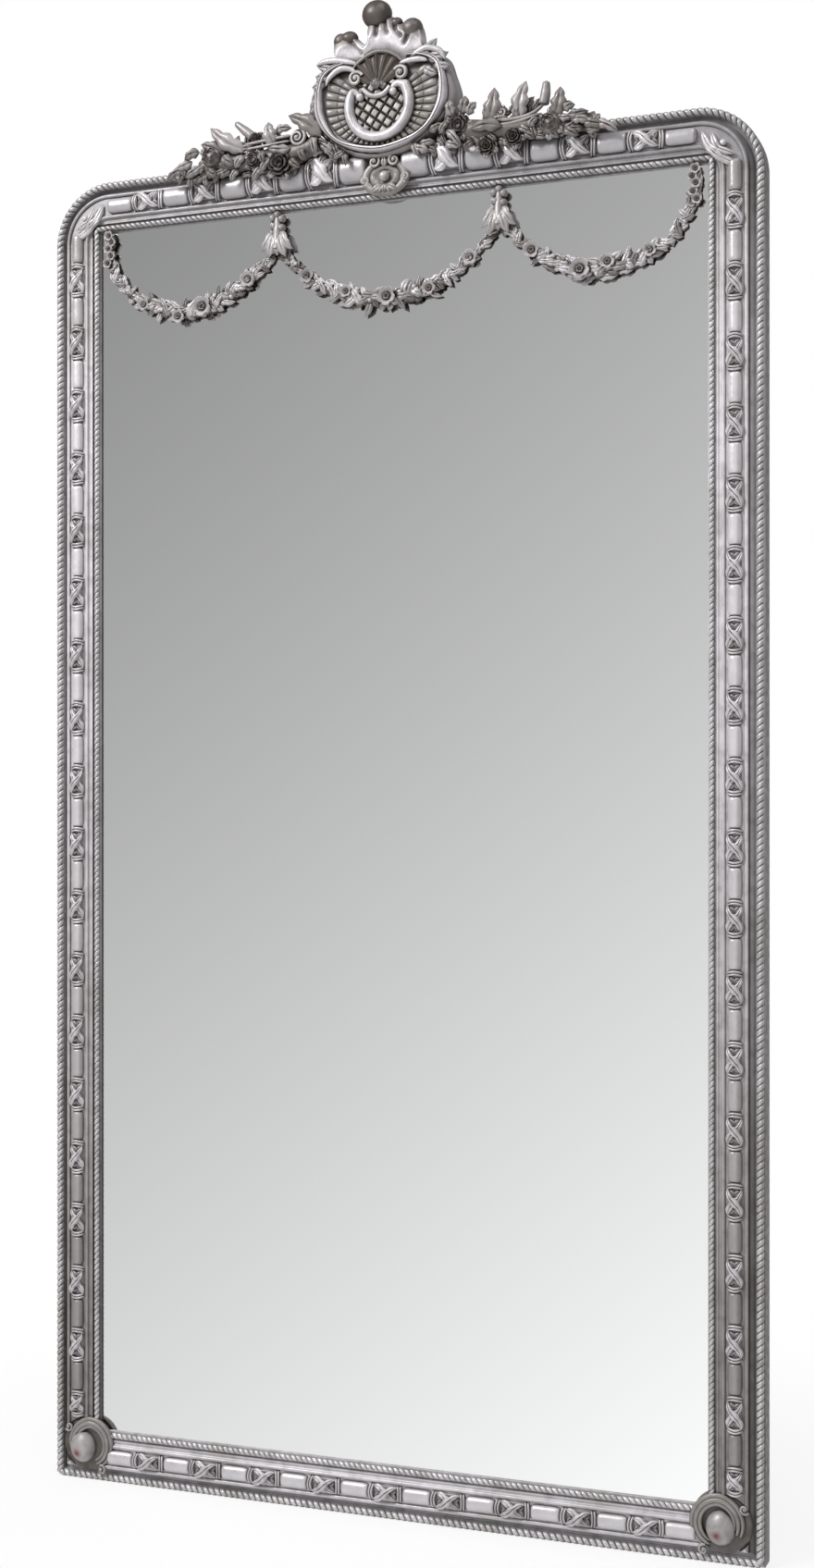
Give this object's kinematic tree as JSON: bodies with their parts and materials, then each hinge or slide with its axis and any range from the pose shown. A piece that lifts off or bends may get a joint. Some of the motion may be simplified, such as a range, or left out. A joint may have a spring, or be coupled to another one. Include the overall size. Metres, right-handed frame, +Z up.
{
  "type": "baroque mirror",
  "caption": "Tall full-length mirror in a silvered carved frame with rounded top corners, a cartouche crest with rose garlands and flower swags draped over the glass.",
  "frame": {"origin": "on the floor plane, in the middle of the overall width and depth", "axes": "+Z up the mirror, +X to the viewer's right, the glass faces -Y and the back with its hangers faces +Y"},
  "size_m": [1, 0.0782, 2],
  "materials": {
    "silvered_moulding": "distressed silver leaf over carved timber, worn to dark patina in the hollows",
    "silvered_rope": "distressed silver leaf on turned rope moulding",
    "silvered_bars": "bright silver leaf on cast bars",
    "silvered_casting": "distressed silver leaf on cast ornament, reddish ground showing on the high points",
    "mirror_glass": "polished silvered glass",
    "felt": "thin dark felt",
    "backing_board": "fibreboard",
    "plain_timber": "planed softwood",
    "hardware_steel": "zinc-plated steel",
    "bumper_rubber": "soft black rubber"
  },
  "bodies": {
    "frame": {"backing_board": "backing_board", "backing_felt": "felt", "board_clips": "hardware_steel", "bottom_bars": "silvered_bars", "bottom_leaf_twists": "silvered_casting", "bottom_rail": "silvered_moulding", "c_scroll": "silvered_casting", "cartouche": "silvered_casting", "cartouche_ribs": "silvered_casting", "clip_screws": "hardware_steel", "corner_plate_screws": "hardware_steel", "corner_plates": "hardware_steel", "crest_board": "silvered_moulding", "crest_bracket": "silvered_casting", "crest_dowels": "plain_timber", "crest_strap_screws": "hardware_steel", "crest_straps": "hardware_steel", "frame_dowels": "plain_timber", "hanger_screws": "hardware_steel", "inner_rope_bottom": "silvered_rope", "inner_rope_left": "silvered_rope", "inner_rope_right": "silvered_rope", "inner_rope_top": "silvered_rope", "lattice_panel": "silvered_casting", "left_bars": "silvered_bars", "left_corner_boss": "silvered_casting", "left_drop": "silvered_casting", "left_garland": "silvered_casting", "left_hanger_strap": "hardware_steel", "left_leaf_twists": "silvered_casting", "left_stile": "silvered_moulding", "left_swag": "silvered_casting", "middle_swag": "silvered_casting", "mirror_glass": "mirror_glass", "outer_rope_bottom": "silvered_rope", "outer_rope_left": "silvered_rope", "outer_rope_right": "silvered_rope", "outer_rope_top": "silvered_rope", "plume": "silvered_casting", "right_bars": "silvered_bars", "right_corner_boss": "silvered_casting", "right_drop": "silvered_casting", "right_garland": "silvered_casting", "right_hanger_strap": "hardware_steel", "right_leaf_twists": "silvered_casting", "right_stile": "silvered_moulding", "right_swag": "silvered_casting", "shell": "silvered_casting", "top_bars": "silvered_bars", "top_leaf_twists": "silvered_casting", "top_left_corner": "silvered_moulding", "top_rail": "silvered_moulding", "top_right_corner": "silvered_moulding", "wall_bumpers": "bumper_rubber"},
    "left_ring": {"left_hanger_ring": "hardware_steel"},
    "right_ring": {"right_hanger_ring": "hardware_steel"}
  },
  "joints": [
    {"name": "left_ring_hinge", "type": "hinge", "parent": "frame", "child": "left_ring", "pos_m": [-0.463, 0.0351, 1.45], "axis": [1, 0, 0], "range_deg": [0, 180]},
    {"name": "right_ring_hinge", "type": "hinge", "parent": "frame", "child": "right_ring", "pos_m": [0.463, 0.0351, 1.45], "axis": [1, 0, 0], "range_deg": [0, 180]}
  ]
}
